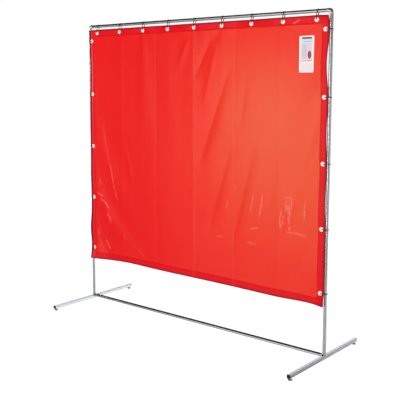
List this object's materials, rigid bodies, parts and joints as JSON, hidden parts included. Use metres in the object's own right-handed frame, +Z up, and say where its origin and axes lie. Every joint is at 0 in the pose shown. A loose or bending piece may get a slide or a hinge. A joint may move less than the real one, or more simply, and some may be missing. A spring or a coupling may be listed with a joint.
{
  "type": "welding curtain screen",
  "caption": "Free-standing tube frame on T-shaped feet with levelling glides, carrying a translucent PVC welding curtain tied through grommets along its top and sides.",
  "frame": {"origin": "on the floor under the middle of the screen, at the centre of the four glides", "axes": "+X along the screen, -Y out of the side that the curtain is tied on, +Z up"},
  "size_m": [1.824, 0.71, 1.8615],
  "materials": {
    "galvanised": "galvanised, satin with a faint spangle",
    "bright_zinc": "bright zinc plate",
    "spring_steel": "plain spring steel",
    "black_plastic": "moulded, fine texture",
    "black_nylon": "moulded nylon, low sheen",
    "black_rubber": "moulded rubber",
    "film": "clear flexible PVC film, glossy",
    "cream_plastic": "moulded, satin",
    "label": "printed vinyl sticker"
  },
  "bodies": {
    "screen": {"left_foot_post": "galvanised", "right_foot_post": "galvanised", "left_foot_front_tube": "galvanised", "left_foot_rear_tube": "galvanised", "right_foot_front_tube": "galvanised", "right_foot_rear_tube": "galvanised", "left_foot_welds": "galvanised", "right_foot_welds": "galvanised", "left_foot_end_caps": "black_plastic", "right_foot_end_caps": "black_plastic", "left_glide_inserts": "bright_zinc", "right_glide_inserts": "bright_zinc", "left_stretcher_stub": "bright_zinc", "right_stretcher_stub": "bright_zinc", "stretcher": "galvanised", "left_upright": "galvanised", "right_upright": "galvanised", "left_elbow": "bright_zinc", "right_elbow": "bright_zinc", "top_rail": "galvanised", "button_springs": "spring_steel", "curtain": "film", "label_patch": "label", "top_grommets": "cream_plastic", "left_grommets": "cream_plastic", "right_grommets": "cream_plastic", "top_ties": "black_nylon", "left_ties": "black_nylon", "right_ties": "black_nylon"},
    "left_foot_button": {"left_foot_button": "bright_zinc"},
    "left_stretcher_button": {"left_stretcher_button": "bright_zinc"},
    "left_upright_button": {"left_upright_button": "bright_zinc"},
    "left_rail_button": {"left_rail_button": "bright_zinc"},
    "left_front_glide": {"left_front_glide_pad": "bright_zinc", "left_front_glide_sole": "black_rubber"},
    "left_front_glide_stem": {"left_front_glide_stem": "bright_zinc"},
    "left_rear_glide": {"left_rear_glide_pad": "bright_zinc", "left_rear_glide_sole": "black_rubber"},
    "left_rear_glide_stem": {"left_rear_glide_stem": "bright_zinc"},
    "right_foot_button": {"right_foot_button": "bright_zinc"},
    "right_stretcher_button": {"right_stretcher_button": "bright_zinc"},
    "right_upright_button": {"right_upright_button": "bright_zinc"},
    "right_rail_button": {"right_rail_button": "bright_zinc"},
    "right_front_glide": {"right_front_glide_pad": "bright_zinc", "right_front_glide_sole": "black_rubber"},
    "right_front_glide_stem": {"right_front_glide_stem": "bright_zinc"},
    "right_rear_glide": {"right_rear_glide_pad": "bright_zinc", "right_rear_glide_sole": "black_rubber"},
    "right_rear_glide_stem": {"right_rear_glide_stem": "bright_zinc"}
  },
  "joints": [
    {"name": "left_foot_button_press", "type": "slide", "parent": "screen", "child": "left_foot_button", "axis": [0, -1, 0], "range_m": [0, 0.0042], "stiffness_N_per_m": 1500, "springref_m": -0.002},
    {"name": "left_stretcher_button_press", "type": "slide", "parent": "screen", "child": "left_stretcher_button", "axis": [0, -1, 0], "range_m": [0, 0.0042], "stiffness_N_per_m": 1500, "springref_m": -0.002},
    {"name": "left_upright_button_press", "type": "slide", "parent": "screen", "child": "left_upright_button", "axis": [0, -1, 0], "range_m": [0, 0.0042], "stiffness_N_per_m": 1500, "springref_m": -0.002},
    {"name": "left_rail_button_press", "type": "slide", "parent": "screen", "child": "left_rail_button", "axis": [0, -1, 0], "range_m": [0, 0.0042], "stiffness_N_per_m": 1500, "springref_m": -0.002},
    {"name": "left_front_glide_travel", "type": "slide", "parent": "screen", "child": "left_front_glide", "axis": [0, 0, -1], "range_m": [-0.0015, 0.01]},
    {"name": "left_front_glide_turn", "type": "hinge", "parent": "left_front_glide", "child": "left_front_glide_stem", "pos_m": [-0.9, -0.338, 0.0044], "axis": [0, 0, -1], "range_deg": [-432.1, 2880.2]},
    {"name": "left_rear_glide_travel", "type": "slide", "parent": "screen", "child": "left_rear_glide", "axis": [0, 0, -1], "range_m": [-0.0015, 0.01]},
    {"name": "left_rear_glide_turn", "type": "hinge", "parent": "left_rear_glide", "child": "left_rear_glide_stem", "pos_m": [-0.9, 0.338, 0.0044], "axis": [0, 0, -1], "range_deg": [-432.1, 2880.2]},
    {"name": "right_foot_button_press", "type": "slide", "parent": "screen", "child": "right_foot_button", "axis": [0, -1, 0], "range_m": [0, 0.0042], "stiffness_N_per_m": 1500, "springref_m": -0.002},
    {"name": "right_stretcher_button_press", "type": "slide", "parent": "screen", "child": "right_stretcher_button", "axis": [0, -1, 0], "range_m": [0, 0.0042], "stiffness_N_per_m": 1500, "springref_m": -0.002},
    {"name": "right_upright_button_press", "type": "slide", "parent": "screen", "child": "right_upright_button", "axis": [0, -1, 0], "range_m": [0, 0.0042], "stiffness_N_per_m": 1500, "springref_m": -0.002},
    {"name": "right_rail_button_press", "type": "slide", "parent": "screen", "child": "right_rail_button", "axis": [0, -1, 0], "range_m": [0, 0.0042], "stiffness_N_per_m": 1500, "springref_m": -0.002},
    {"name": "right_front_glide_travel", "type": "slide", "parent": "screen", "child": "right_front_glide", "axis": [0, 0, -1], "range_m": [-0.0015, 0.01]},
    {"name": "right_front_glide_turn", "type": "hinge", "parent": "right_front_glide", "child": "right_front_glide_stem", "pos_m": [0.9, -0.338, 0.0044], "axis": [0, 0, -1], "range_deg": [-432.1, 2880.2]},
    {"name": "right_rear_glide_travel", "type": "slide", "parent": "screen", "child": "right_rear_glide", "axis": [0, 0, -1], "range_m": [-0.0015, 0.01]},
    {"name": "right_rear_glide_turn", "type": "hinge", "parent": "right_rear_glide", "child": "right_rear_glide_stem", "pos_m": [0.9, 0.338, 0.0044], "axis": [0, 0, -1], "range_deg": [-432.1, 2880.2]}
  ],
  "couplings": [
    {"joint": "left_front_glide_turn", "follows": "left_front_glide_travel", "rad_per_m": 5026.5},
    {"joint": "left_rear_glide_turn", "follows": "left_rear_glide_travel", "rad_per_m": 5026.5},
    {"joint": "right_front_glide_turn", "follows": "right_front_glide_travel", "rad_per_m": 5026.5},
    {"joint": "right_rear_glide_turn", "follows": "right_rear_glide_travel", "rad_per_m": 5026.5}
  ]
}
